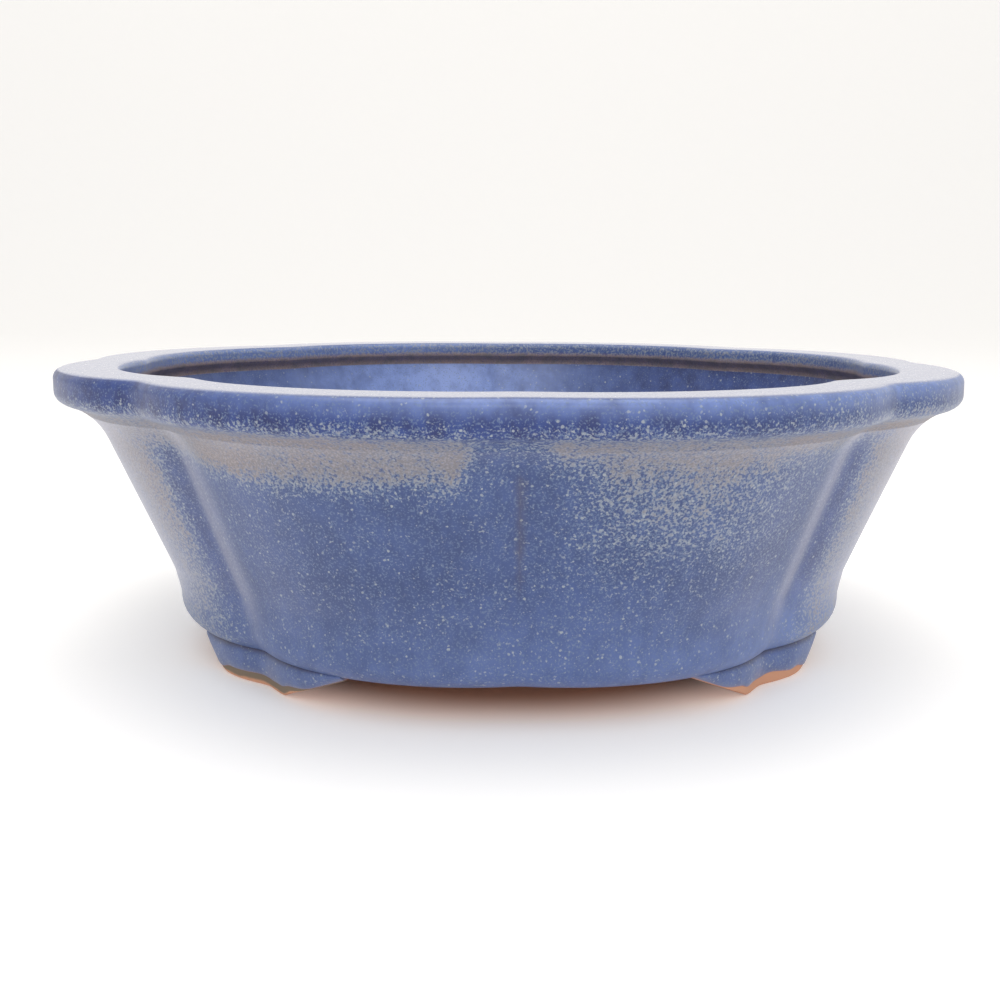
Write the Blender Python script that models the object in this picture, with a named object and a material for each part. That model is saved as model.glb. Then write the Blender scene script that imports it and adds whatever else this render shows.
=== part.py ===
"""Bonsai pot: a shallow eight-lobed bowl of fired clay with a flat rim and four corner feet.

The pot is luted together from seven pieces of clay: a floor slab, a flared wall standing on it,
a rim band on top of the wall, and a foot under each of the four diagonal creases. Every piece
follows one plan outline, eight equal arcs that meet in creases, drawn smaller towards the base.

Units are metres, +Z is up, the front is -Y, and the origin is on the table under the centre.
"""

import math

import bmesh
import bpy

MM = 0.001

# Driving dimensions
HALF_LENGTH = 102.5 * MM  # centre to the rim's edge at a lobe, along X
HALF_WIDTH = 102.5 * MM  # the same along Y
HEIGHT = 65.0 * MM
LOBES = 8
SCALLOP = 0.040  # how far a crease is drawn in, as a share of the radius
GAP = 0.3 * MM  # clearance between neighbouring pieces

RIM_WIDTH = 13.8 * MM
RIM_THICKNESS = 6.6 * MM
RIM_TOP_ROUNDING = 2.0 * MM
RIM_LOWER_ROUNDING = 2.4 * MM
RIM_INNER_ROUNDING = 1.5 * MM
RIM_UNDERCUT = 8.6 * MM  # how far the rim's edge stands out from the wall
LIP_DEPTH = 3.8 * MM  # height of the opening's upright face
LIP_CHAMFER = 1.7 * MM

WALL_THICKNESS = 4.8 * MM
WALL_TOP = 55.2 * MM
KNEE_HEIGHT = 20.5 * MM  # where the flare turns into the steep belly
KNEE_INSET = 23.2 * MM
KNEE_ROUNDING = 12.0 * MM
BELLY_INSET = 24.4 * MM

FLOOR_BOTTOM = 7.0 * MM
FLOOR_TOP = 13.6 * MM
BASE_ROUNDING = 4.4 * MM

DRAIN_RADIUS = 12.0 * MM
WIRE_HOLE_RADIUS = 2.5 * MM
WIRE_HOLE_CIRCLE = 42.0 * MM
WIRE_HOLES = 4
WIRE_HOLE_TURN = math.radians(1.3)  # keeps the holes off the line of a crease
CUTTER_TURN = math.radians(2.0)  # keeps a cutter's corners off the floor's own edges

FOOT_TOP_INSET = 27.2 * MM
FOOT_TOE_INSET = 28.6 * MM  # edge of the sole, at the crease
FOOT_WING_INSET = 30.4 * MM  # edge of the sole, at a wing's tip
FOOT_DEPTH = 15.0 * MM  # radial depth under the floor
FOOT_HEEL_TAPER = 1.5 * MM
FOOT_SPAN = math.radians(18.0)  # from the crease to a wing's tip
FOOT_SOLE_SPAN = math.radians(9.0)  # from the crease to the end of the sole
FOOT_TIP_HEIGHT = 1.2 * MM  # height left at a wing's tip
FOOT_CREASES = {
    "foot_front_left": -45.0,
    "foot_front_right": 45.0,
    "foot_back_right": 135.0,
    "foot_back_left": -135.0,
}

# Resolution
STEPS_PER_LOBE = 12
CORNER_STEPS = 4
FOOT_STEPS = 28
HOLE_STEPS = 40

GLAZE_BLUE = (0.085, 0.135, 0.335)
GLAZE_COBALT = (0.045, 0.075, 0.250)
BARE_CLAY = (0.500, 0.270, 0.160)


def clear_scene():
    for item in list(bpy.data.objects):
        bpy.data.objects.remove(item)


def make_material(name, colour, roughness):
    material = bpy.data.materials.new(name)
    material.use_nodes = True
    shader = material.node_tree.nodes["Principled BSDF"]
    shader.inputs["Base Color"].default_value = (*colour, 1.0)
    shader.inputs["Roughness"].default_value = roughness
    shader.inputs["Metallic"].default_value = 0.0
    return material


def lobe_factor(angle):
    """Share of the full radius that the outline reaches at an angle from the front crease.

    Each lobe is an arc of one circle, whose centre lies on the lobe's middle line.
    """
    half = math.pi / LOBES
    turn = angle % (2.0 * half) - half
    notch = 1.0 - SCALLOP
    centre = (1.0 - notch**2) / (2.0 * (1.0 - notch * math.cos(half)))
    arc = 1.0 - centre
    return centre * math.cos(turn) + math.sqrt(arc**2 - (centre * math.sin(turn)) ** 2)


def outline_point(angle, inset, height):
    """Point of the lobed outline that lies inset from the rim's edge."""
    factor = lobe_factor(angle)
    x = (HALF_LENGTH - inset) * factor * math.sin(angle)
    y = -(HALF_WIDTH - inset) * factor * math.cos(angle)
    return (x, y, height)


def rounded_profile(corners):
    """Points of a profile whose corners are (inset, height, rounding radius)."""
    points = []
    count = len(corners)
    for index, (inset, height, radius) in enumerate(corners):
        if radius == 0.0:
            points.append((inset, height))
            continue
        before = corners[index - 1]
        after = corners[(index + 1) % count]
        points.extend(corner_arc((inset, height), before, after, radius))
    return points


def corner_arc(corner, before, after, radius):
    """Arc that is tangent to both sides of a corner."""
    sides = []
    for end in (before, after):
        step = (end[0] - corner[0], end[1] - corner[1])
        length = math.hypot(*step)
        sides.append((step[0] / length, step[1] / length))
    opening = math.acos(sides[0][0] * sides[1][0] + sides[0][1] * sides[1][1])
    reach = radius / math.tan(opening / 2.0)
    middle = (sides[0][0] + sides[1][0], sides[0][1] + sides[1][1])
    scale = radius / math.sin(opening / 2.0) / math.hypot(*middle)
    centre = (corner[0] + middle[0] * scale, corner[1] + middle[1] * scale)
    start = (corner[0] + sides[0][0] * reach, corner[1] + sides[0][1] * reach)
    first = math.atan2(start[1] - centre[1], start[0] - centre[0])
    turn = math.pi - opening
    cross = sides[0][0] * sides[1][1] - sides[0][1] * sides[1][0]
    direction = -1.0 if cross > 0.0 else 1.0
    arc = []
    for step in range(CORNER_STEPS + 1):
        angle = first + direction * turn * step / CORNER_STEPS
        arc.append((centre[0] + radius * math.cos(angle), centre[1] + radius * math.sin(angle)))
    return arc


def ring_angles():
    count = LOBES * STEPS_PER_LOBE
    return [2.0 * math.pi * step / count for step in range(count)]


def add_ring(mesh, inset, height):
    return [mesh.verts.new(outline_point(angle, inset, height)) for angle in ring_angles()]


def add_circle(mesh, radius, height):
    return [
        mesh.verts.new((radius * math.sin(angle), -radius * math.cos(angle), height))
        for angle in ring_angles()
    ]


def bridge(mesh, lower, upper):
    count = len(lower)
    for index in range(count):
        following = (index + 1) % count
        mesh.faces.new((lower[index], lower[following], upper[following], upper[index]))


def finish_object(mesh, name, material):
    """Turn a bmesh into a named object with its faces pointing out."""
    bmesh.ops.recalc_face_normals(mesh, faces=mesh.faces)
    data = bpy.data.meshes.new(name)
    mesh.to_mesh(data)
    mesh.free()
    data.materials.append(material)
    data.shade_smooth()
    data.set_sharp_from_angle(angle=math.radians(35.0))
    item = bpy.data.objects.new(name, data)
    bpy.context.scene.collection.objects.link(item)
    return item


def close_band(mesh, rings):
    """Join rings into a closed band, the last one back to the first."""
    for index, ring in enumerate(rings):
        bridge(mesh, ring, rings[(index + 1) % len(rings)])


def make_band(name, profile, material):
    """Closed band whose profile is a closed loop that runs round the pot."""
    mesh = bmesh.new()
    close_band(mesh, [add_ring(mesh, inset, height) for inset, height in profile])
    return finish_object(mesh, name, material)


def make_rim(material):
    """Flat rim that stands out from the wall and narrows the opening with a small lip."""
    underside = WALL_TOP + GAP
    seat_outer = RIM_UNDERCUT
    seat_inner = seat_outer + WALL_THICKNESS
    lip_foot = HEIGHT - LIP_DEPTH - LIP_CHAMFER
    corners = [
        (RIM_WIDTH, HEIGHT, RIM_INNER_ROUNDING),
        (0.0, HEIGHT, RIM_TOP_ROUNDING),
        (0.0, HEIGHT - RIM_THICKNESS, RIM_LOWER_ROUNDING),
        (seat_outer, underside, 0.0),
        (seat_inner, underside, 0.0),
        (RIM_WIDTH - LIP_CHAMFER, lip_foot, 0.0),
        (RIM_WIDTH, HEIGHT - LIP_DEPTH, 0.0),
    ]
    return make_band("rim", rounded_profile(corners), material)


def make_wall(material):
    """Wall that flares from a steep belly; its inside face runs parallel to the outside."""
    foot = FLOOR_TOP + GAP
    outside = [
        (RIM_UNDERCUT, WALL_TOP, 0.0),
        (KNEE_INSET, KNEE_HEIGHT, KNEE_ROUNDING),
        (BELLY_INSET, foot, 0.0),
    ]
    inside = [
        (BELLY_INSET + WALL_THICKNESS, foot, 0.0),
        (KNEE_INSET + WALL_THICKNESS, KNEE_HEIGHT, KNEE_ROUNDING),
        (RIM_UNDERCUT + WALL_THICKNESS, WALL_TOP, 0.0),
    ]
    return make_band("wall", rounded_profile(outside + inside), material)


def make_cutter(name, radius, x, y):
    """Upright cylinder that passes right through the floor."""
    mesh = bmesh.new()
    bmesh.ops.create_cone(
        mesh,
        cap_ends=True,
        segments=HOLE_STEPS,
        radius1=radius,
        radius2=radius,
        depth=4.0 * (FLOOR_TOP - FLOOR_BOTTOM),
    )
    data = bpy.data.meshes.new(name)
    mesh.to_mesh(data)
    mesh.free()
    cutter = bpy.data.objects.new(name, data)
    cutter.location = (x, y, (FLOOR_TOP + FLOOR_BOTTOM) / 2.0)
    cutter.rotation_euler.z = CUTTER_TURN
    cutter.hide_render = True
    cutter.display_type = "WIRE"
    bpy.context.scene.collection.objects.link(cutter)
    return cutter


def cut_hole(item, cutter):
    hole = item.modifiers.new(cutter.name, "BOOLEAN")
    hole.operation = "DIFFERENCE"
    hole.solver = "EXACT"
    hole.object = cutter


def make_floor(material):
    """Floor slab with a rounded lower edge, one drain hole and four small wire holes."""
    corners = [
        (BELLY_INSET + 3.0 * BASE_ROUNDING, FLOOR_BOTTOM, 0.0),
        (BELLY_INSET, FLOOR_BOTTOM, BASE_ROUNDING),
        (BELLY_INSET, FLOOR_TOP, 0.0),
    ]
    mesh = bmesh.new()
    rings = [add_ring(mesh, inset, height) for inset, height in rounded_profile(corners)]
    rings.append(add_circle(mesh, DRAIN_RADIUS, FLOOR_TOP))
    rings.append(add_circle(mesh, DRAIN_RADIUS, FLOOR_BOTTOM))
    close_band(mesh, rings)
    floor = finish_object(mesh, "floor_slab", material)
    for index in range(WIRE_HOLES):
        angle = 2.0 * math.pi * (index + 0.5) / WIRE_HOLES + WIRE_HOLE_TURN
        x = WIRE_HOLE_CIRCLE * math.cos(angle)
        y = WIRE_HOLE_CIRCLE * math.sin(angle)
        cut_hole(floor, make_cutter(f"wire_cutter_{index}", WIRE_HOLE_RADIUS, x, y))
    return floor


def sole_height(offset):
    """Height of a foot's underside at an angle from its crease: a flat sole, then a curved wing."""
    beyond = abs(offset) - FOOT_SOLE_SPAN
    if beyond <= 0.0:
        return 0.0
    share = beyond / (FOOT_SPAN - FOOT_SOLE_SPAN)
    lift = math.sin(share * math.pi / 2.0) ** 1.5
    return lift * (FLOOR_BOTTOM - GAP - FOOT_TIP_HEIGHT)


def make_foot(name, crease, material):
    """Corner foot that follows the outline on both sides of a crease and tapers downwards."""
    top = FLOOR_BOTTOM - GAP
    mesh = bmesh.new()
    sections = []
    for step in range(FOOT_STEPS + 1):
        offset = FOOT_SPAN * (2.0 * step / FOOT_STEPS - 1.0)
        angle = math.radians(crease) + offset
        sole = sole_height(offset)
        wing = (offset / FOOT_SPAN) ** 2
        edge = FOOT_TOE_INSET + (FOOT_WING_INSET - FOOT_TOE_INSET) * wing
        toe = FOOT_TOP_INSET + (edge - FOOT_TOP_INSET) * (1.0 - sole / top)
        heel = FOOT_TOP_INSET + FOOT_DEPTH
        corners = [
            (FOOT_TOP_INSET, top),
            (toe, sole),
            (heel - FOOT_HEEL_TAPER, sole),
            (heel, top),
        ]
        sections.append([mesh.verts.new(outline_point(angle, *corner)) for corner in corners])
    for first, second in zip(sections, sections[1:]):
        bridge(mesh, first, second)
    mesh.faces.new(sections[0])
    mesh.faces.new(sections[-1])
    return finish_object(mesh, name, material)


def build():
    clear_scene()
    body_glaze = make_material("body_glaze", GLAZE_BLUE, 0.45)
    rim_glaze = make_material("rim_glaze", GLAZE_COBALT, 0.25)
    foot_clay = make_material("foot_clay", BARE_CLAY, 0.80)
    make_floor(body_glaze)
    make_wall(body_glaze)
    make_rim(rim_glaze)
    for name, crease in FOOT_CREASES.items():
        make_foot(name, crease, foot_clay)


build()
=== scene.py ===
"""Looks of the bonsai pot: fine lobed clay pieces with procedural glazes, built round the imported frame.

Every visual piece stands for one CAD node. The pieces share one profile and one plan outline,
so neighbours meet without a step. Lengths are metres; angles are measured from the front (-Y).
"""
import math

import bpy
import numpy as np
from mathutils import Matrix, Vector, noise


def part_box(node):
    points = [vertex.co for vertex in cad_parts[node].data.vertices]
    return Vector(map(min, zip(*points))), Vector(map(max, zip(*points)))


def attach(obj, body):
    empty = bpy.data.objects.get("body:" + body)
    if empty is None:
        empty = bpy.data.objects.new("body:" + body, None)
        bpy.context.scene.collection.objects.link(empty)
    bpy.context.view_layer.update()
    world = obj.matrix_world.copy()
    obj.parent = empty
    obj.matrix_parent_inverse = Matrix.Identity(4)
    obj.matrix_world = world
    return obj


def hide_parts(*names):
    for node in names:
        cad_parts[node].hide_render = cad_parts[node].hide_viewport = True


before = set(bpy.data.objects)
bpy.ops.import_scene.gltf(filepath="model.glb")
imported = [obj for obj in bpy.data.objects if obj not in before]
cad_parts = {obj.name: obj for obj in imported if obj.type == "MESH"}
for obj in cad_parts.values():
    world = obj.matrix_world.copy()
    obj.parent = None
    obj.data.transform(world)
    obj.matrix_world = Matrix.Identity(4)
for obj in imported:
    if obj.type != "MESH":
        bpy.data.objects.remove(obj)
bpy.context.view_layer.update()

MM = 0.001

# Heights and the outer radius that come from the frame
RIM_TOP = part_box("rim")[1].z
WALL_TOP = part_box("wall")[1].z
FLOOR_BOTTOM, FLOOR_TOP = (corner.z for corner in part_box("floor_slab"))
REACH = max(vertex.co.xy.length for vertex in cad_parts["rim"].data.vertices)

# Plan outline
LOBES = 8
LOBE_ANGLE = 2.0 * math.pi / LOBES
SCALLOP = 0.040  # depth of a crease, as a share of the radius
CREASE_SOFTNESS = math.radians(1.5)
SOFT_SAMPLES = 7
PINCH = 0.011  # how much further the diagonal creases are pressed in
PINCH_SPREAD = 6.0  # degrees either side of the crease
HAND_LEAN = 0.9 * MM  # how far the base sits off the rim's centre
CREASE_DRIFT = math.radians(2.4)  # moves the front diagonal creases 2 degrees towards the sides
SLOW_WOBBLE = 0.28 * MM
SLOW_WAVES = 14.0  # per metre round the pot
SLOW_WAVES_UP = 22.0
QUICK_WOBBLE = 0.08 * MM
QUICK_WAVES = 70.0
QUICK_OFFSET = 9.0  # keeps the two wobbles apart

# Profile: an inset is measured inwards from the rim's outer edge
RIM_WIDTH = 13.8 * MM
RIM_MIDDLE = RIM_WIDTH / 2.0
RIM_THICKNESS = 6.6 * MM
RIM_UNDERCUT = 8.6 * MM
RIM_TOP_ROUNDING = 2.0 * MM
RIM_EDGE_ROUNDING = 2.6 * MM
UNDER_RIM_FILLET = 14.0 * MM
LIP_DEPTH = 3.8 * MM
LIP_CHAMFER = 1.7 * MM
LIP_ROUNDING = 1.4 * MM
LIP_EDGE_ROUNDING = 0.7 * MM
LIP_FOOT_ROUNDING = 1.5 * MM
WALL_THICKNESS = 4.8 * MM
WALL_TOP_ROUNDING = 6.0 * MM
KNEE_HEIGHT = 20.5 * MM
KNEE_INSET = 23.2 * MM
KNEE_ROUNDING = 9.0 * MM
KNEE_INNER_ROUNDING = 14.0 * MM
BELLY_INSET = 24.4 * MM
BELLY_END = 8.0 * MM  # height above the floor's underside where the base's rounding takes over
BASE_ROUNDING = 6.4 * MM
BASE_LEDGE = 11.0 * MM  # how far in the underside still follows the lobes
FLOOR_FILLET = 5.0 * MM
FLOOR_LEDGE = 12.0 * MM  # where the inside path ends, on the floor
INNER_LEDGE = 8.0 * MM  # how far in the inside floor still follows the lobes
PATH_SPACING = 1.2 * MM
DRAIN_RADIUS = 12.0 * MM
DRAIN_CHAMFER = 1.0 * MM
WIRE_HOLE_RADIUS = 2.5 * MM
WIRE_HOLE_CIRCLE = 42.0 * MM
WIRE_HOLES = 4
WIRE_HOLE_TURN = math.radians(1.3)
WIRE_HOLE_EDGE = 0.7 * MM  # size of the softened edge

# Resolution
STEPS_PER_LOBE = 60
RING_STEPS = LOBES * STEPS_PER_LOBE
ARC_STEPS = 8
HOLE_STEPS = 48
SHARP_ANGLE = math.radians(40.0)


def clamp(value, low=0.0, high=1.0):
    return max(low, min(high, value))


def smooth(low, high, value):
    """Smooth step from 0 at low to 1 at high."""
    share = clamp((value - low) / (high - low))
    return share * share * (3.0 - 2.0 * share)


def mix(first, second, share):
    return first + (second - first) * share


def srgb(red, green, blue):
    """Linear colour of an 8-bit display colour."""
    result = []
    for value in (red, green, blue):
        value = value / 255.0
        result.append(value / 12.92 if value <= 0.04045 else ((value + 0.055) / 1.055) ** 2.4)
    return (*result, 1.0)


# ---------------------------------------------------------------- plan outline


def lobe_factor(angle):
    """Share of the full radius on the sharp outline of equal arcs."""
    half = LOBE_ANGLE / 2.0
    turn = angle % LOBE_ANGLE - half
    notch = 1.0 - SCALLOP
    centre = (1.0 - notch**2) / (2.0 * (1.0 - notch * math.cos(half)))
    arc = 1.0 - centre
    return centre * math.cos(turn) + math.sqrt(arc**2 - (centre * math.sin(turn)) ** 2)


def even_angle(angle):
    """Angle in an even division of eight lobes for an angle on the hand-made pot."""
    frontness = 0.5 + 0.5 * math.cos(angle)
    return angle - CREASE_DRIFT * math.sin(2.0 * angle) * frontness


def soft_factor(angle):
    """The outline with its creases rounded, as thick glaze leaves them, and the diagonal ones deeper."""
    angle = even_angle(angle)
    total = 0.0
    for sample in range(SOFT_SAMPLES):
        shift = CREASE_SOFTNESS * (2.0 * sample / (SOFT_SAMPLES - 1) - 1.0)
        total += lobe_factor(angle + shift)
    diagonal = math.degrees(abs(angle % (2.0 * LOBE_ANGLE) - LOBE_ANGLE))
    pinch = PINCH * math.exp(-((diagonal / PINCH_SPREAD) ** 2))
    return total / SOFT_SAMPLES - pinch


ANGLES = [2.0 * math.pi * step / RING_STEPS for step in range(RING_STEPS)]
FACTORS = [soft_factor(angle) for angle in ANGLES]


def hand_finish(angle, radius, height):
    """Point on the pot with the slow unevenness and slight lean of hand work."""
    x = radius * math.sin(angle)
    y = -radius * math.cos(angle)
    slow = noise.noise(Vector((x * SLOW_WAVES, y * SLOW_WAVES, height * SLOW_WAVES_UP)))
    place = Vector((x * QUICK_WAVES + QUICK_OFFSET, y * QUICK_WAVES, height * QUICK_WAVES))
    quick = noise.noise(place)
    push = SLOW_WOBBLE * slow + QUICK_WOBBLE * quick
    lean = HAND_LEAN * (1.0 - height / RIM_TOP)
    return (x + push * math.sin(angle) + lean, y - push * math.cos(angle), height)


# ---------------------------------------------------------------- profile


def arc_corner(corner, before, after, radius, steps):
    """Points of an arc tangent to both sides of a profile corner."""
    sides = []
    for end in (before, after):
        step = (end[0] - corner[0], end[1] - corner[1])
        length = math.hypot(*step)
        sides.append((step[0] / length, step[1] / length))
    opening = math.acos(clamp(sides[0][0] * sides[1][0] + sides[0][1] * sides[1][1], -1.0, 1.0))
    reach = radius / math.tan(opening / 2.0)
    middle = (sides[0][0] + sides[1][0], sides[0][1] + sides[1][1])
    scale = radius / math.sin(opening / 2.0) / math.hypot(*middle)
    centre = (corner[0] + middle[0] * scale, corner[1] + middle[1] * scale)
    start = (corner[0] + sides[0][0] * reach, corner[1] + sides[0][1] * reach)
    first = math.atan2(start[1] - centre[1], start[0] - centre[0])
    cross = sides[0][0] * sides[1][1] - sides[0][1] * sides[1][0]
    turn = (math.pi - opening) * (-1.0 if cross > 0.0 else 1.0)
    return [
        (
            centre[0] + radius * math.cos(first + turn * step / steps),
            centre[1] + radius * math.sin(first + turn * step / steps),
        )
        for step in range(steps + 1)
    ]


def rounded_path(corners, spacing):
    """Open path through (inset, height, rounding) corners, cut into steps no longer than spacing."""
    rough = []
    for index, (inset, height, radius) in enumerate(corners):
        if radius == 0.0 or index in (0, len(corners) - 1):
            rough.append((inset, height))
        else:
            before = corners[index - 1]
            after = corners[index + 1]
            rough.extend(arc_corner((inset, height), before, after, radius, ARC_STEPS))
    path = [rough[0]]
    for point in rough[1:]:
        last = path[-1]
        length = math.dist(last, point)
        count = max(1, math.ceil(length / spacing))
        for step in range(1, count + 1):
            share = step / count
            path.append((mix(last[0], point[0], share), mix(last[1], point[1], share)))
    return path


# Downward paths of (inset, height, rounding) corners from the middle of the rim's top
OUTSIDE = rounded_path(
    [
        (RIM_MIDDLE, RIM_TOP, 0.0),
        (0.0, RIM_TOP, RIM_TOP_ROUNDING),
        (0.0, RIM_TOP - RIM_THICKNESS, RIM_EDGE_ROUNDING),
        (RIM_UNDERCUT - 0.6 * MM, WALL_TOP + 0.9 * MM, UNDER_RIM_FILLET),
        (KNEE_INSET, KNEE_HEIGHT, KNEE_ROUNDING),
        (BELLY_INSET, FLOOR_BOTTOM + BELLY_END, 0.0),
        (BELLY_INSET + 0.3 * MM, FLOOR_BOTTOM, BASE_ROUNDING),
        (BELLY_INSET + BASE_LEDGE, FLOOR_BOTTOM, 0.0),
    ],
    PATH_SPACING,
)
INSIDE = rounded_path(
    [
        (RIM_MIDDLE, RIM_TOP, 0.0),
        (RIM_WIDTH, RIM_TOP, LIP_ROUNDING),
        (RIM_WIDTH, RIM_TOP - LIP_DEPTH, LIP_EDGE_ROUNDING),
        (RIM_WIDTH - LIP_CHAMFER, RIM_TOP - LIP_DEPTH - LIP_CHAMFER, LIP_FOOT_ROUNDING),
        (RIM_UNDERCUT + WALL_THICKNESS + 0.2 * MM, WALL_TOP, WALL_TOP_ROUNDING),
        (KNEE_INSET + WALL_THICKNESS, KNEE_HEIGHT, KNEE_INNER_ROUNDING),
        (BELLY_INSET + WALL_THICKNESS + 0.6 * MM, FLOOR_TOP, FLOOR_FILLET),
        (BELLY_INSET + WALL_THICKNESS + FLOOR_LEDGE, FLOOR_TOP, 0.0),
    ],
    PATH_SPACING,
)


def cut_path(path, high, low):
    """Part of a downward path between two heights, with exact end points."""
    result = []
    for first, second in zip(path, path[1:]):
        for level in (high, low):
            if first[1] > level > second[1]:
                share = (first[1] - level) / (first[1] - second[1])
                result.append((mix(first[0], second[0], share), level))
        if low < second[1] < high:
            result.append(second)
    return sorted(set(result), key=lambda point: -point[1])


# ---------------------------------------------------------------- glaze masks

# pale: specks and wash, deep: cobalt, brown: thin or scorched, clay: bare, gloss: smoothness,
# ridge: pale glaze ridge on a crease with a painted highlight, haze: painted pale reflection at grazing
# angles, lit: painted light and highlights in light blue
MASK_NAMES = ("pale", "deep", "brown", "clay", "gloss", "ridge", "haze", "lit")
GAP_PLACE = -0.02  # where the pale band breaks off at the front, as a sine of the angle
GAP_WIDTH = 0.065
FLANK_START = 0.69
FLANK_END = 0.84
RIDGE_WIDTH = 0.75  # degrees
VALLEY_OFFSET = 3.0  # degrees from the ridge
VALLEY_WIDTH = 2.0
FRONT_LINE_WIDTH = 1.0
PAINTED_REFLECTION_PLACE = -0.23  # middle of the painted reflection on the inside wall, as a sine of the angle
PAINTED_REFLECTION_WIDTH = 0.42


def coat(**amounts):
    """Mask values in the order of MASK_NAMES; a mask that is not given is 0."""
    return tuple(amounts.get(mask, 0.0) for mask in MASK_NAMES)


def bell(offset, width):
    """1 at no offset, falling off smoothly on both sides."""
    return math.exp(-((offset / width) ** 2))


def front_gap(across):
    """1 where the pale band breaks off at the front and back, falling to 0 beside it."""
    return smooth(1.6 * GAP_WIDTH, 0.4 * GAP_WIDTH, abs(across - GAP_PLACE))


def pale_outside(angle, height):
    """How thick the pale specks lie on the wall: a band under the rim that runs down the flanks.

    The share is 0 at the inside floor's height and 1 beneath the rim.
    """
    across = math.sin(angle)
    share = (height - FLOOR_TOP) / (WALL_TOP - FLOOR_TOP)
    drift = noise.noise(Vector((math.cos(angle) * 3.0, across * 3.0, share * 1.2)))
    gap = front_gap(across)

    start = 0.835 - 0.05 * drift + 0.11 * smooth(0.0, 0.08, across) + 0.3 * gap
    start += 0.07 * smooth(-0.55, -0.90, across)
    band = smooth(start - 0.16, start + 0.10, share)

    right = smooth(0.02, 0.22, across)
    field = 0.52 * right * smooth(0.12, 0.80, share) * smooth(0.80, 0.35, across)
    calm = 0.20 + 0.05 * drift + 0.30 * smooth(0.80, 1.0, share) * (1.0 - 0.7 * gap)

    flank = smooth(FLANK_START, FLANK_END, abs(across))
    side = flank * (0.74 + 0.26 * smooth(0.05, 0.95, share))
    return clamp(max(band, calm + field, side))


def crease_masks(angle, height):
    """Pale ridges with a painted highlight on the side creases, the deep valleys beside them and the dark
    front and back lines.
    """
    share = clamp((height - FLOOR_BOTTOM) / (WALL_TOP - FLOOR_BOTTOM))
    fade = smooth(0.10, 0.35, share) * smooth(1.0, 0.88, share)
    turn = abs(math.degrees(math.remainder(even_angle(angle), 2.0 * math.pi)))
    ridge = 0.0
    valley = 0.0
    for crease in (45.0, 90.0, 135.0):
        beside = crease - turn
        ridge += 0.9 * bell(beside - 0.1, RIDGE_WIDTH)
        if crease != 90.0:
            valley += bell(beside + VALLEY_OFFSET, VALLEY_WIDTH)
    line = bell(turn, FRONT_LINE_WIDTH) + bell(180.0 - turn, FRONT_LINE_WIDTH)
    return ridge * fade, valley * fade, line * fade * smooth(0.15, 0.6, share)


def wall_masks(angle, height):
    """The outside wall: specks from pale_outside, and painted light that makes the low belly lighter, more
    so on the right.
    """
    ridge, valley, line = crease_masks(angle, height)
    low = smooth(KNEE_HEIGHT + 12.0 * MM, FLOOR_BOTTOM, height)
    from_middle = math.degrees(abs(math.remainder(angle, math.pi)))
    # painted sheen: pale reflection at grazing angles, rising from the base, weaker near the diagonal
    # creases
    haze = smooth(FLOOR_BOTTOM + 1.0 * MM, KNEE_HEIGHT, height)
    haze *= 1.0 - 0.80 * bell(from_middle - 40.0, 5.0)
    return coat(
        pale=clamp(pale_outside(angle, height) - 0.30 * valley),
        deep=0.45 * valley + 0.15 * line,
        brown=0.56 * line,
        gloss=0.12,
        ridge=ridge,
        haze=haze,
        # painted light: the low belly lighter towards the base and towards the right
        lit=low * (0.27 + 0.32 * smooth(0.0, 0.9, math.sin(angle))),
    )


def rim_side_masks(across, height):
    """The rim's edge: a painted highlight above, strongest from the middle rightwards, cobalt below, then
    a fringe of specks over the pale underside.
    """
    depth = clamp((RIM_TOP - height) / (RIM_TOP - WALL_TOP))
    right = smooth(0.0, 0.6, across)
    gap = front_gap(across)
    fringe = smooth(0.30, 0.64, depth)
    under = smooth(0.60, 0.90, depth)
    pale = mix(0.04 + 0.30 * right, 0.60, fringe) - 0.14 * gap * fringe
    # painted highlight on the upper part of the rim's edge, weak on the left
    lit = smooth(0.48, 0.0, depth) * mix(0.04, 0.80, smooth(-0.9, 0.0, across))
    return coat(
        pale=clamp(mix(pale, 1.0 - 0.45 * gap, under)),
        deep=mix(1.0, 0.48, right) * (1.0 - under),
        gloss=mix(0.50, 0.1, under),
        haze=0.06,
        lit=lit * smooth(1.3, 0.8, across),
    )


def inside_masks(across, height):
    """The inside wall: a painted reflection in light blue left of the middle, deeper blue towards the
    right above the floor.
    """
    # painted reflection: a light patch on the inside wall
    patch = bell(across - PAINTED_REFLECTION_PLACE, PAINTED_REFLECTION_WIDTH) * smooth(KNEE_HEIGHT, WALL_TOP - 8.0 * MM, height)
    right = smooth(0.20, 0.65, across) * smooth(FLOOR_TOP, KNEE_HEIGHT, height)
    return coat(deep=0.30 + 0.70 * right, gloss=0.55, haze=0.2, lit=0.16 + 1.10 * patch)


def masks(kind, angle, height):
    """Mask values at a point on one kind of surface."""
    across = math.sin(angle)
    if kind == "top":
        # the flat top: painted reflection through the painted sheen, and some painted light
        return coat(pale=0.20, deep=0.30, gloss=0.9, haze=1.0, lit=0.3)
    if kind == "rim_side":
        return rim_side_masks(across, height)
    if kind == "wall_out":
        return wall_masks(angle, height)
    if kind == "lip":
        # the lip: painted light, stronger towards the left
        return coat(pale=0.66, deep=0.20, gloss=0.6, haze=0.2, lit=0.30 + 0.45 * smooth(0.1, -0.4, across))
    if kind == "lip_under":
        return coat(pale=1.0, brown=0.5, clay=0.25, gloss=0.2)
    if kind == "inside":
        return inside_masks(across, height)
    if kind == "underside":
        return coat(clay=1.0)
    raise ValueError(kind)


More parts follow.
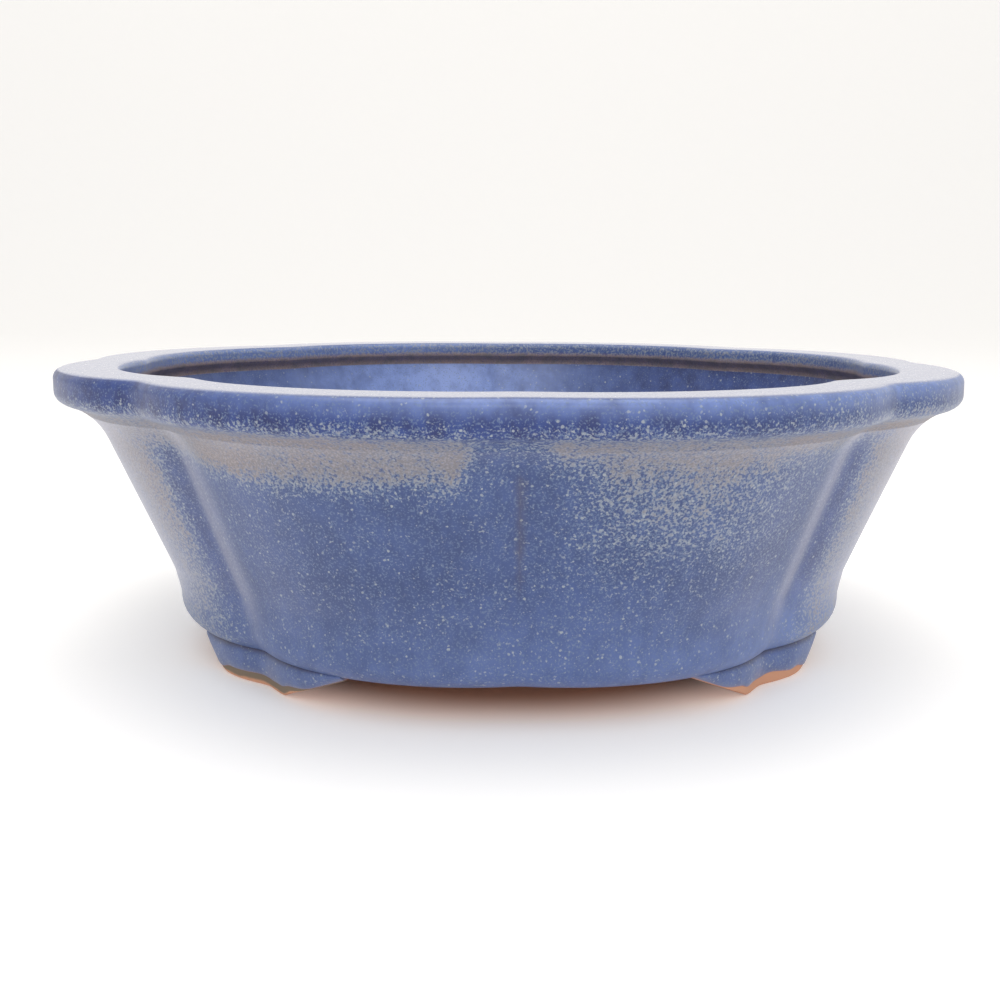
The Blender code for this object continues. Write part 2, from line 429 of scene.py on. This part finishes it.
def outside_kind(height):
    """Kind of surface at a height on the outside of the pot."""
    if height > RIM_TOP - 0.2 * MM:
        return "top"
    if height > WALL_TOP + 0.2 * MM:
        return "rim_side"
    if height > FLOOR_BOTTOM + 0.02 * MM:
        return "wall_out"
    return "underside"


def inside_kind(height):
    """Kind of surface at a height on the inside of the rim."""
    if height > RIM_TOP - 0.4 * MM:
        return "top"
    if height > RIM_TOP - LIP_DEPTH + 0.35 * MM:
        return "lip"
    if height > RIM_TOP - LIP_DEPTH - LIP_CHAMFER - 0.7 * MM:
        return "lip_under"
    return "inside"


# ---------------------------------------------------------------- meshes


class Shell:
    """Collects rings of points that run round the pot and makes one closed mesh of them.

    Rings named in seams touch the next piece; their edges stay sharp.
    """

    def __init__(self, name):
        self.name = name
        self.points = []
        self.values = []
        self.faces = []
        self.seams = set()

    def ring(self, inset, height, kind):
        """Lobed ring at an inset from the rim's edge; returns the number of its first point."""
        start = len(self.points)
        for angle, factor in zip(ANGLES, FACTORS):
            self.points.append(hand_finish(angle, (REACH - inset) * factor, height))
            self.values.append(masks(kind, angle, height))
        return start

    def circle(self, radius, height, kind):
        """Round ring for the drain hole; returns the number of its first point."""
        start = len(self.points)
        for angle in ANGLES:
            self.points.append((radius * math.sin(angle), -radius * math.cos(angle), height))
            self.values.append(masks(kind, angle, height))
        return start

    def bridge(self, first, second):
        for step in range(RING_STEPS):
            after = (step + 1) % RING_STEPS
            self.faces.append((first + step, first + after, second + after, second + step))

    def loop(self, starts):
        """Join the rings into a closed band."""
        for index, start in enumerate(starts):
            self.bridge(start, starts[(index + 1) % len(starts)])

    def build(self):
        item = mesh_object(self.name, self.points, self.faces, self.values)
        for edge in item.data.edges:
            first, second = (vertex // RING_STEPS for vertex in edge.vertices)
            if first == second and first in self.seams:
                edge.use_edge_sharp = True
        return item


def mesh_object(name, points, faces, values):
    """Mesh object with outward faces, smooth shading and the mask attributes."""
    data = bpy.data.meshes.new(name)
    data.from_pydata(points, [], faces)
    data.update()
    table = np.array(values, np.float32)
    for column, mask in enumerate(MASK_NAMES):
        attribute = data.attributes.new(mask, "FLOAT", "POINT")
        attribute.data.foreach_set("value", np.ascontiguousarray(table[:, column]))
    if signed_volume(data) < 0.0:
        data.flip_normals()
    data.shade_smooth()
    data.set_sharp_from_angle(angle=SHARP_ANGLE)
    item = bpy.data.objects.new(name, data)
    bpy.context.scene.collection.objects.link(item)
    return item


def signed_volume(data):
    """Volume inside a mesh; below zero when its faces point inwards."""
    data.calc_loop_triangles()
    corners = np.zeros(len(data.vertices) * 3)
    data.vertices.foreach_get("co", corners)
    corners = corners.reshape(-1, 3)
    index = np.zeros(len(data.loop_triangles) * 3, np.int32)
    data.loop_triangles.foreach_get("vertices", index)
    first, second, third = (corners[index.reshape(-1, 3)[:, corner]] for corner in range(3))
    return float(np.einsum("ij,ij->i", first, np.cross(second, third)).sum()) / 6.0


# ---------------------------------------------------------------- clay pieces


def make_rim():
    shell = Shell("rim_glazed")
    top = RIM_TOP - 1e-6
    outer = [(RIM_MIDDLE, RIM_TOP)]
    outer += [point for point in OUTSIDE if point[1] >= top and point[0] < RIM_MIDDLE]
    outer += cut_path(OUTSIDE, top, WALL_TOP)
    inner = [point for point in INSIDE if point[1] >= top and point[0] > RIM_MIDDLE]
    inner += cut_path(INSIDE, top, WALL_TOP)
    starts = [shell.ring(inset, height, outside_kind(height)) for inset, height in outer]
    shell.seams = {len(starts) - 1, len(starts)}
    starts += [shell.ring(inset, height, inside_kind(height)) for inset, height in reversed(inner)]
    shell.loop(starts)
    return shell.build()


def make_wall():
    shell = Shell("wall_glazed")
    outer = cut_path(OUTSIDE, WALL_TOP, FLOOR_TOP)
    inner = cut_path(INSIDE, WALL_TOP, FLOOR_TOP + 0.02 * MM)
    starts = [shell.ring(inset, height, "wall_out") for inset, height in outer]
    starts += [shell.ring(inset, height, "inside") for inset, height in reversed(inner)]
    shell.seams = {0, len(outer) - 1, len(outer), len(starts) - 1}
    shell.loop(starts)
    return shell.build()


def make_floor():
    shell = Shell("floor_glazed")
    outer = [cut_path(OUTSIDE, FLOOR_TOP, FLOOR_BOTTOM)[0]]
    outer += [point for point in OUTSIDE if point[1] < FLOOR_TOP]
    wide = DRAIN_RADIUS + DRAIN_CHAMFER
    inner = BELLY_INSET + WALL_THICKNESS
    starts = [shell.ring(inset, height, outside_kind(height)) for inset, height in outer]
    starts.append(shell.circle(wide, FLOOR_BOTTOM, "underside"))
    starts.append(shell.circle(DRAIN_RADIUS, FLOOR_BOTTOM + DRAIN_CHAMFER, "underside"))
    starts.append(shell.circle(DRAIN_RADIUS, FLOOR_TOP - DRAIN_CHAMFER, "inside"))
    starts.append(shell.circle(wide, FLOOR_TOP, "inside"))
    starts.append(shell.ring(inner + INNER_LEDGE, FLOOR_TOP, "inside"))
    starts.append(shell.ring(inner, FLOOR_TOP, "inside"))
    shell.seams = {0}
    shell.loop(starts)
    floor = shell.build()
    for index in range(WIRE_HOLES):
        turn = 2.0 * math.pi * (index + 0.5) / WIRE_HOLES + WIRE_HOLE_TURN
        bore_hole(floor, WIRE_HOLE_CIRCLE * math.cos(turn), WIRE_HOLE_CIRCLE * math.sin(turn))
    return floor


def hole_cutter(x, y):
    """Closed waisted pin with the shape of a wire hole and its softened edges."""
    middle = (FLOOR_TOP + FLOOR_BOTTOM) / 2.0
    half = (FLOOR_TOP - FLOOR_BOTTOM) / 2.0
    edge = WIRE_HOLE_EDGE
    profile = [
        (edge + 0.2 * MM, half + 1.0 * MM),
        (edge, half),
        (0.3 * edge, half - 0.35 * edge),
        (0.0, half - edge),
    ]
    profile += [(extra, -height) for extra, height in reversed(profile)]
    rings = []
    points = []
    for extra, height in profile:
        rings.append(len(points))
        radius = WIRE_HOLE_RADIUS + extra
        for step in range(HOLE_STEPS):
            turn = 2.0 * math.pi * (step + 0.37) / HOLE_STEPS
            points.append((x + radius * math.cos(turn), y + radius * math.sin(turn), middle + height))
    faces = [tuple(range(HOLE_STEPS)), tuple(range(rings[-1], rings[-1] + HOLE_STEPS))]
    for first, second in zip(rings, rings[1:]):
        for step in range(HOLE_STEPS):
            after = (step + 1) % HOLE_STEPS
            faces.append((first + step, first + after, second + after, second + step))
    return mesh_object("cutter", points, faces, [masks("inside", 0.0, FLOOR_TOP)] * len(points))


def bore_hole(floor, x, y):
    """Cut a wire hole and give its new surface the masks of its side of the floor."""
    cutter = hole_cutter(x, y)
    hole = floor.modifiers.new("hole", "BOOLEAN")
    hole.operation = "DIFFERENCE"
    hole.solver = "EXACT"
    hole.object = cutter
    graph = bpy.context.evaluated_depsgraph_get()
    result = bpy.data.meshes.new_from_object(floor.evaluated_get(graph))
    floor.modifiers.clear()
    floor.data = result
    bpy.data.objects.remove(cutter)
    for index, vertex in enumerate(result.vertices):
        if math.hypot(vertex.co.x - x, vertex.co.y - y) < WIRE_HOLE_RADIUS + 2.0 * WIRE_HOLE_EDGE:
            kind = "inside" if vertex.co.z > FLOOR_BOTTOM + 1.0 * MM else "underside"
            for mask, value in zip(MASK_NAMES, masks(kind, 0.0, vertex.co.z)):
                result.attributes[mask].data[index].value = value


# ---------------------------------------------------------------- feet

FOOT_TOP_INSET = 28.9 * MM
FOOT_TOE_INSET = 28.0 * MM
FOOT_BULGE = 1.1 * MM
FOOT_DEPTH = 13.0 * MM
FOOT_RISE = 1.3 * MM  # how far a foot reaches up into the base's rounding
TOE_TUCK = 0.7 * MM  # how far the toe draws back towards the tips
BARE_HEIGHT = 2.0 * MM
GLAZE_STEP = 0.30 * MM  # the glaze stands out from the bare clay by this much
GLAZE_ROLL = 0.3 * MM
SOLE_BEVEL = 0.5 * MM
HEEL_BEVEL = 2.5 * MM
FOOT_STEPS = 120
FACE_STEPS = 9

# Angles across a foot, in degrees from its crease towards the pot's side
FOOT_INNER_TIP = -19.5
FOOT_INNER_SOLE = -4.8
FOOT_OUTER_SOLE = 9.0
FOOT_OUTER_TIP = 17.5
INNER_TIP_LIFT = 6.9 * MM
OUTER_TIP_LIFT = 5.2 * MM
WING_DIFFERENCE = 0.35 * MM  # the right feet rise a little more steeply than the left ones


def sole_height(across, side):
    """Height of the sole at an angle across the foot: flat, with a rising wing at each end.

    The side is 1 for a foot on the pot's right and -1 for one on its left.
    """
    if across < FOOT_INNER_SOLE:
        share = (FOOT_INNER_SOLE - across) / (FOOT_INNER_SOLE - FOOT_INNER_TIP)
        start = smooth(0.0, 0.22, share)
        return (INNER_TIP_LIFT + side * WING_DIFFERENCE) * share**1.1 * start
    if across > FOOT_OUTER_SOLE:
        share = (across - FOOT_OUTER_SOLE) / (FOOT_OUTER_TIP - FOOT_OUTER_SOLE)
        return OUTER_TIP_LIFT * share**2.4
    return 0.0


def glaze_edge(across, side):
    """Height of the wavy lower edge of the glaze; it meets the sole on the wings."""
    strip = smooth(FOOT_INNER_TIP + 6.0, FOOT_INNER_SOLE, across)
    strip *= smooth(FOOT_OUTER_TIP - 3.5, FOOT_OUTER_SOLE, across)
    wave = noise.noise(Vector((across * 0.20, side * 2.0, 3.0)))
    return sole_height(across, side) + (0.06 * MM + BARE_HEIGHT * strip * (1.0 + 0.45 * wave))


def foot_section(across, side):
    """Closed section of a foot, as (inset, height, masks) points."""
    sole = sole_height(across, side)
    edge = glaze_edge(across, side)
    top = FLOOR_BOTTOM + FOOT_RISE
    toe = FOOT_TOE_INSET + TOE_TUCK * smooth(6.0, 18.0, abs(across))
    scorch = 0.95 if side < 0.0 else 0.12
    points = []
    for step in range(FACE_STEPS):
        share = step / (FACE_STEPS - 1)
        bow = FOOT_BULGE * math.sin(math.pi * share**0.8)
        inset = mix(FOOT_TOP_INSET, toe, share) - bow
        # painted shade: brown and deep blue at the top of the foot face, in the groove under the belly
        groove_shade = 0.75 * smooth(0.42, 0.10, share)
        # pale rolled glaze edge with a painted highlight
        roll = 0.55 * smooth(0.80, 1.0, share)
        # painted light and painted sheen on the foot's glaze
        glazed = coat(
            pale=0.24,
            deep=0.5 * groove_shade,
            brown=groove_shade,
            gloss=0.35,
            ridge=roll,
            haze=0.25,
            lit=0.26,
        )
        points.append((inset, mix(top, edge + GLAZE_ROLL, share), glazed))
    strip = edge - sole
    bare = toe + GLAZE_STEP
    for inset, height, burnt in (
        (bare, edge, scorch),
        (bare + 0.1 * SOLE_BEVEL, sole + 0.6 * strip, scorch),
        (bare + 0.2 * SOLE_BEVEL, sole + 0.12 * strip, 0.1 * scorch),
        (bare + SOLE_BEVEL, sole, 0.0),
    ):
        points.append((inset, height, coat(brown=burnt, clay=1.0)))
    heel = FOOT_TOP_INSET + FOOT_DEPTH
    for share in (0.33, 0.66, 1.0):
        points.append((mix(bare + SOLE_BEVEL, heel - HEEL_BEVEL, share), sole, coat(clay=1.0)))
    for inset, share in ((heel - 1.6 * MM, 0.05), (heel - 0.8 * MM, 0.5)):
        points.append((inset, mix(sole, top, share), coat(clay=1.0)))
    points.append((heel, top, coat(clay=1.0)))
    return points


def make_foot(name, crease):
    """Foot under a crease; its sole reaches further towards the pot's side than to the front."""
    side = math.copysign(1.0, crease)
    towards_side = side if abs(crease) < 90.0 else -side
    count = len(foot_section(0.0, side))
    points = []
    values = []
    for step in range(FOOT_STEPS + 1):
        across = mix(FOOT_INNER_TIP, FOOT_OUTER_TIP, step / FOOT_STEPS)
        angle = math.radians(crease + towards_side * across)
        factor = soft_factor(angle)
        for inset, height, glazing in foot_section(across, side):
            points.append(hand_finish(angle, (REACH - inset) * factor, height))
            values.append(glazing)
    faces = []
    for step in range(FOOT_STEPS):
        first = step * count
        second = first + count
        for index in range(count):
            after = (index + 1) % count
            faces.append((first + index, first + after, second + after, second + index))
    faces.append(tuple(range(count)))
    faces.append(tuple(FOOT_STEPS * count + index for index in range(count)))
    return mesh_object(name, points, faces, values)


# ---------------------------------------------------------------- materials


class Nodes:
    """Builds a material's node tree; a value is a number, a colour or another node's output."""

    def __init__(self, name):
        self.material = bpy.data.materials.new(name)
        self.material.use_nodes = True
        self.tree = self.material.node_tree
        self.tree.nodes.clear()

    def add(self, kind, inputs=None, **settings):
        """New node with its settings, and its inputs set or linked by name."""
        node = self.tree.nodes.new(kind)
        for key, value in settings.items():
            setattr(node, key, value)
        for key, value in (inputs or {}).items():
            self.put(node.inputs[key], value)
        return node

    def put(self, socket, value):
        if hasattr(value, "is_output"):
            self.tree.links.new(value, socket)
        else:
            socket.default_value = value

    def math(self, operation, first, second, clamped=False):
        node = self.add("ShaderNodeMath", operation=operation, use_clamp=clamped)
        self.put(node.inputs[0], first)
        self.put(node.inputs[1], second)
        return node.outputs[0]

    def plus(self, first, second, clamped=False):
        return self.math("ADD", first, second, clamped)

    def minus(self, first, second):
        return self.math("SUBTRACT", first, second)

    def times(self, first, second, clamped=False):
        return self.math("MULTIPLY", first, second, clamped)

    def centred(self, pattern, gain):
        """A pattern of values round 0.5, shifted to lie round 0 and scaled."""
        return self.times(self.minus(pattern, 0.5), gain)

    def smooth(self, value, low, high):
        inputs = {"Value": value, "From Min": low, "From Max": high}
        return self.add("ShaderNodeMapRange", inputs, interpolation_type="SMOOTHSTEP").outputs["Result"]

    def blend(self, share, first, second):
        inputs = {"Factor": share, "A": first, "B": second}
        return self.add("ShaderNodeMix", inputs, data_type="RGBA").outputs["Result"]

    def noise(self, vector, scale, detail=2.0, roughness=0.5, output="Fac"):
        inputs = {"Vector": vector, "Scale": scale, "Detail": detail, "Roughness": roughness}
        return self.add("ShaderNodeTexNoise", inputs).outputs[output]

    def scaled(self, vector, factor):
        node = self.add("ShaderNodeVectorMath", {"Scale": factor}, operation="SCALE")
        self.put(node.inputs[0], vector)
        return node.outputs["Vector"]

    def surface(self, inputs):
        """Principled surface of the material."""
        shader = self.add("ShaderNodeBsdfPrincipled", inputs)
        self.add("ShaderNodeOutputMaterial", {"Surface": shader.outputs["BSDF"]})


# Glaze and clay colours, and the colours of painted light, sheen and highlights
BLUE_DARK = srgb(54, 71, 118)
BLUE_MID = srgb(67, 87, 139)
BLUE_SPECK = srgb(108, 126, 154)
# painted light: light blue for painted light and highlights
PAINTED_LIGHT_BLUE = srgb(138, 160, 218)
COBALT_DARK = srgb(24, 36, 92)
COBALT_LIGHT = srgb(42, 66, 132)
PALE_SPECK = srgb(167, 174, 179)
PALE_WASH = srgb(134, 131, 138)
PINK_WASH = srgb(140, 131, 132)
# pale crease ridge colour with a painted highlight in it
RIDGE_HIGHLIGHT_COLOUR = srgb(134, 136, 156)
# painted sheen: pale colour of the painted reflection at grazing angles
PAINTED_SHEEN_COLOUR = srgb(200, 200, 213)
BROWN_GLAZE = srgb(84, 76, 82)
CLAY_LIGHT = srgb(208, 154, 124)
CLAY_DARK = srgb(128, 114, 98)

# Patterns, in repeats per metre
SPECK_SCALE = 2500.0
CLUMP_SCALE = 1600.0
GRAIN_SCALE = 1150.0
FLOW_SCALE = 420.0
CLUSTER_SCALE = 230.0
PATCH_SCALE = 45.0
WARP_SCALE = 1800.0
WARP_SIZE = 0.45 * MM
FLOW_STRETCH = 0.45  # the running glaze is drawn out downwards
BUMP_STRENGTH = 0.25
BUMP_HEIGHT = 0.15 * MM
CLAY_IOR = 1.5


class GlazePatterns:
    """The noises and masks that all layers of the glaze share."""

    def __init__(self, nodes):
        place = nodes.add("ShaderNodeTexCoord").outputs["Object"]
        drawn = nodes.add("ShaderNodeMapping", {"Vector": place, "Scale": (1.0, 1.0, FLOW_STRETCH)})
        self.place = place
        self.fine = nodes.noise(place, SPECK_SCALE, 1.0, 0.5)
        self.coarse = nodes.noise(place, CLUMP_SCALE, 2.0, 0.55)
        self.cluster = nodes.noise(place, CLUSTER_SCALE, 3.0, 0.6)
        self.patch = nodes.noise(place, PATCH_SCALE, 3.0, 0.55)
        self.flow = nodes.noise(drawn.outputs["Vector"], FLOW_SCALE, 3.0, 0.6)
        self.pooled = nodes.plus(self.cluster, nodes.centred(self.flow, 0.6))
        self.mask = {}
        for mask in MASK_NAMES:
            self.mask[mask] = nodes.add("ShaderNodeAttribute", attribute_name=mask).outputs["Fac"]
        local = nodes.plus(self.mask["pale"], nodes.centred(self.patch, 0.30))
        self.paleness = nodes.plus(local, nodes.centred(self.cluster, 0.55))


def blue_body(nodes, glaze):
    """Blue glaze that turns cobalt where it is deep, with painted light in light blue laid over it."""
    mottling = nodes.smooth(nodes.plus(glaze.patch, nodes.centred(glaze.flow, 0.7)), 0.2, 0.8)
    body = nodes.blend(mottling, BLUE_DARK, BLUE_MID)
    cobalt = nodes.blend(nodes.smooth(glaze.pooled, 0.20, 0.78), COBALT_DARK, COBALT_LIGHT)
    base = nodes.blend(glaze.mask["deep"], body, cobalt)
    # painted light: how much light blue is laid over the glaze
    clear = nodes.times(glaze.mask["lit"], nodes.plus(0.75, nodes.centred(glaze.pooled, 0.9)))
    return nodes.blend(clear, base, PAINTED_LIGHT_BLUE)


def add_specks(nodes, glaze, base):
    """Fine bluish specks and pale clumps; returns the colour and the clumps' mask."""
    fine_level = nodes.minus(0.575, nodes.times(glaze.paleness, 0.14))
    fine_specks = nodes.smooth(nodes.minus(glaze.fine, fine_level), -0.02, 0.12)
    base = nodes.blend(nodes.times(fine_specks, 0.60), base, BLUE_SPECK)
    clump_level = nodes.minus(0.70, nodes.times(glaze.paleness, 0.30))
    clumps = nodes.smooth(nodes.minus(glaze.coarse, clump_level), -0.01, 0.09)
    return nodes.blend(nodes.times(clumps, 0.55), base, PALE_SPECK), clumps


def add_grains(nodes, glaze, base):
    """Single round pale grains of mixed size and strength, more of them where the glaze is pale."""
    warp = nodes.scaled(nodes.noise(glaze.place, WARP_SCALE, output="Color"), WARP_SIZE)
    warped = nodes.add("ShaderNodeVectorMath", operation="ADD")
    nodes.put(warped.inputs[0], glaze.place)
    nodes.put(warped.inputs[1], warp)
    cell_inputs = {"Vector": warped.outputs["Vector"], "Scale": GRAIN_SCALE}
    cells = nodes.add("ShaderNodeTexVoronoi", cell_inputs)
    chance = nodes.add("ShaderNodeSeparateColor", {"Color": cells.outputs["Color"]}).outputs
    size = nodes.plus(0.22, nodes.times(chance["Green"], 0.20))
    grain = nodes.smooth(nodes.minus(size, cells.outputs["Distance"]), 0.0, 0.16)
    rarity = nodes.minus(0.86, nodes.times(glaze.paleness, 0.62))
    grain = nodes.times(grain, nodes.math("GREATER_THAN", chance["Red"], rarity))
    strength = nodes.plus(0.30, nodes.times(chance["Blue"], 0.50))
    return nodes.blend(nodes.times(grain, strength), base, PALE_SPECK)


def add_wash(nodes, glaze, base):
    """Grainy grey-pink wash where the pale glaze lies thickest."""
    wash = nodes.smooth(nodes.plus(glaze.paleness, nodes.centred(glaze.coarse, 1.0)), 0.66, 1.10)
    earthy = nodes.blend(nodes.smooth(glaze.patch, 0.40, 0.66), PALE_WASH, PINK_WASH)
    darker = nodes.scaled(earthy, 0.84)
    lighter = nodes.scaled(earthy, 1.22)
    earthy = nodes.blend(nodes.smooth(glaze.fine, 0.40, 0.72), darker, lighter)
    return nodes.blend(wash, base, earthy)


def add_edges(nodes, glaze, base):
    """Pale ridges with a painted highlight on the creases and brown where the glaze breaks thin."""
    base = nodes.blend(nodes.times(glaze.mask["ridge"], 0.55), base, RIDGE_HIGHLIGHT_COLOUR)
    thin = nodes.plus(glaze.mask["brown"], nodes.centred(glaze.cluster, 0.35))
    thin = nodes.smooth(thin, 0.22, 0.90)
    return nodes.blend(nodes.times(thin, 0.8), base, BROWN_GLAZE)


def add_painted_sheen(nodes, glaze, base):
    """Painted sheen: a pale reflection painted into the colour at grazing angles."""
    facing = nodes.add("ShaderNodeLayerWeight", {"Blend": 0.5})
    painted_sheen_share = nodes.times(nodes.math("POWER", facing.outputs["Facing"], 3.0), glaze.mask["haze"])
    return nodes.blend(nodes.times(painted_sheen_share, nodes.plus(0.40, glaze.fine), clamped=True), base, PAINTED_SHEEN_COLOUR)


def add_clay(nodes, glaze, base):
    """Bare orange-brown clay, scorched grey in places."""
    scorch = nodes.plus(glaze.mask["brown"], nodes.centred(glaze.cluster, 0.9))
    clay = nodes.blend(nodes.smooth(scorch, 0.25, 0.75), CLAY_LIGHT, CLAY_DARK)
    return nodes.blend(glaze.mask["clay"], base, clay)


def make_glaze():
    """Satin speckled glaze; the mask attributes say where it is pale, deep, thin or missing, and where
    light, sheen and highlights are painted on it.
    """
    nodes = Nodes("speckled_glaze")
    glaze = GlazePatterns(nodes)
    colour, clumps = add_specks(nodes, glaze, blue_body(nodes, glaze))
    for add_layer in (add_grains, add_wash, add_edges, add_painted_sheen, add_clay):
        colour = add_layer(nodes, glaze, colour)

    rough = nodes.plus(0.52, nodes.times(glaze.mask["gloss"], -0.34))
    rough = nodes.plus(rough, nodes.times(clumps, 0.08))
    rough = nodes.plus(rough, nodes.times(glaze.mask["clay"], 0.38), clamped=True)
    height = nodes.plus(nodes.times(glaze.cluster, 0.8), nodes.times(glaze.coarse, 0.35))
    bump_inputs = {"Strength": BUMP_STRENGTH, "Distance": BUMP_HEIGHT, "Height": height}
    bump = nodes.add("ShaderNodeBump", bump_inputs).outputs["Normal"]
    nodes.surface({"Base Color": colour, "Roughness": rough, "IOR": CLAY_IOR, "Normal": bump})
    return nodes.material


# Distances from the pot's centre on the paper
SHADE_START = 0.053
SHADE_END = 0.080
FAR_START = 0.15
FAR_END = 0.50
# painted shadow: warm darker paper round the pot
PAPER_PAINTED_SHADOW = srgb(228, 210, 200)
PAPER_FAR = srgb(244, 242, 239)
# painted glow: the paper gives off light beyond the painted shadow
PAPER_GLOW = 0.26
PAPER_GLOW_LOSS = 0.06  # how much fainter the glow is far away


def make_studio_material():
    """Pale paper with a painted shadow, warm and darker, round the pot, and a painted glow beyond it."""
    nodes = Nodes("studio_paper")
    length = nodes.add("ShaderNodeVectorMath", operation="LENGTH")
    nodes.put(length.inputs[0], nodes.add("ShaderNodeTexCoord").outputs["Object"])
    away = nodes.smooth(length.outputs["Value"], SHADE_START, SHADE_END)
    far = nodes.smooth(length.outputs["Value"], FAR_START, FAR_END)
    glow = nodes.minus(nodes.times(away, PAPER_GLOW), nodes.times(far, PAPER_GLOW_LOSS))
    nodes.surface(
        {
            "Base Color": nodes.blend(away, PAPER_PAINTED_SHADOW, PAPER_FAR),
            "Roughness": 0.8,
            "Specular IOR Level": 0.1,
            "Emission Color": (1.0, 0.995, 0.99, 1.0),
            "Emission Strength": glow,
        }
    )
    return nodes.material


# ---------------------------------------------------------------- studio

SWEEP_REACH = 3.0
SWEEP_BACK = 1.6  # where the floor starts to curve up
SWEEP_BEND = 0.8
SWEEP_STEPS = 24


def make_backdrop():
    """Paper sweep: a floor that curves up behind the pot."""
    path = [(-SWEEP_REACH, 0.0)]
    for step in range(SWEEP_STEPS + 1):
        turn = math.pi / 2.0 * step / SWEEP_STEPS
        path.append((SWEEP_BACK + SWEEP_BEND * math.sin(turn), SWEEP_BEND - SWEEP_BEND * math.cos(turn)))
    path.append((SWEEP_BACK + SWEEP_BEND, SWEEP_REACH))
    points = []
    for y, z in path:
        points += [(-SWEEP_REACH, y, z), (SWEEP_REACH, y, z)]
    faces = [(2 * row, 2 * row + 1, 2 * row + 3, 2 * row + 2) for row in range(len(path) - 1)]
    data = bpy.data.meshes.new("studio_sweep")
    data.from_pydata(points, [], faces)
    data.shade_smooth()
    data.materials.append(make_studio_material())
    sweep = bpy.data.objects.new("studio_sweep", data)
    bpy.context.scene.collection.objects.link(sweep)


# Soft round lights: name, place, target, diameter, power in watts
LIGHTS = (
    ("light_top", (0.0, -0.1, 1.3), (0.0, 0.0, 0.0), 1.2, 7.0),
    ("light_front", (0.15, -1.4, 0.9), (0.0, 0.0, 0.03), 0.9, 4.0),
)


def add_light(name, place, target, size, power):
    data = bpy.data.lights.new(name, "AREA")
    data.shape = "DISK"
    data.size = size
    data.energy = power
    light = bpy.data.objects.new(name, data)
    light.location = place
    light.rotation_euler = (Vector(target) - Vector(place)).to_track_quat("-Z", "Y").to_euler()
    bpy.context.scene.collection.objects.link(light)


STUDIO_LIGHT = 0.70  # strength of the even light from all round
STUDIO_PAPER = 0.97  # how bright the studio beyond the sweep looks


def make_world():
    """Even white light from all round, which looks brighter to the camera than it shines."""
    world = bpy.data.worlds.new("studio_world")
    world.use_nodes = True
    tree = world.node_tree
    background = tree.nodes["Background"]
    background.inputs["Color"].default_value = (1.0, 1.0, 1.0, 1.0)
    seen = tree.nodes.new("ShaderNodeMapRange")
    seen.inputs["To Min"].default_value = STUDIO_LIGHT
    seen.inputs["To Max"].default_value = STUDIO_PAPER
    ray = tree.nodes.new("ShaderNodeLightPath")
    tree.links.new(ray.outputs["Is Camera Ray"], seen.inputs["Value"])
    tree.links.new(seen.outputs["Result"], background.inputs["Strength"])
    bpy.context.scene.world = world


# Camera: distances in multiples of the pot's outer radius, angles in degrees
CAMERA_DISTANCE = 2.95
CAMERA_ABOVE_RIM = 0.178
CAMERA_TURN = -1.4
CAMERA_PAN = 0.30
CAMERA_PITCH = 9.75
CAMERA_ROLL = 0.31
CAMERA_LENS = 45.5
CAMERA_SENSOR = 36.0


def make_camera():
    data = bpy.data.cameras.new("camera")
    data.sensor_width = CAMERA_SENSOR
    data.lens = CAMERA_LENS
    data.clip_start = 0.01
    data.clip_end = 20.0
    camera = bpy.data.objects.new("camera", data)
    turn = math.radians(CAMERA_TURN)
    distance = CAMERA_DISTANCE * REACH
    height = RIM_TOP + CAMERA_ABOVE_RIM * REACH
    place = Vector((distance * math.sin(turn), -distance * math.cos(turn), height))
    heading = Matrix.Rotation(turn + math.radians(CAMERA_PAN), 4, "Z")
    pitch = Matrix.Rotation(math.radians(90.0 - CAMERA_PITCH), 4, "X")
    roll = Matrix.Rotation(math.radians(CAMERA_ROLL), 4, "Z")
    camera.matrix_world = Matrix.Translation(place) @ heading @ pitch @ roll
    bpy.context.scene.collection.objects.link(camera)
    bpy.context.scene.camera = camera


# ---------------------------------------------------------------- assembly

# Angle of the crease above each foot, in degrees from the front
FEET = {
    "foot_front_left": -47.0,
    "foot_front_right": 47.0,
    "foot_back_right": 135.0,
    "foot_back_left": -135.0,
}


def finish_piece(piece, node, material):
    """Give a piece its material and let it stand for its CAD node."""
    piece.data.materials.append(material)
    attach(piece, "root")
    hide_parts(node)


glaze_material = make_glaze()
finish_piece(make_rim(), "rim", glaze_material)
finish_piece(make_wall(), "wall", glaze_material)
finish_piece(make_floor(), "floor_slab", glaze_material)
for node_name, crease_angle in FEET.items():
    foot = make_foot(node_name + "_glazed", crease_angle)
    finish_piece(foot, node_name, glaze_material)

make_backdrop()
make_world()
for settings in LIGHTS:
    add_light(*settings)
make_camera()
bpy.context.scene.view_settings.view_transform = "Standard"
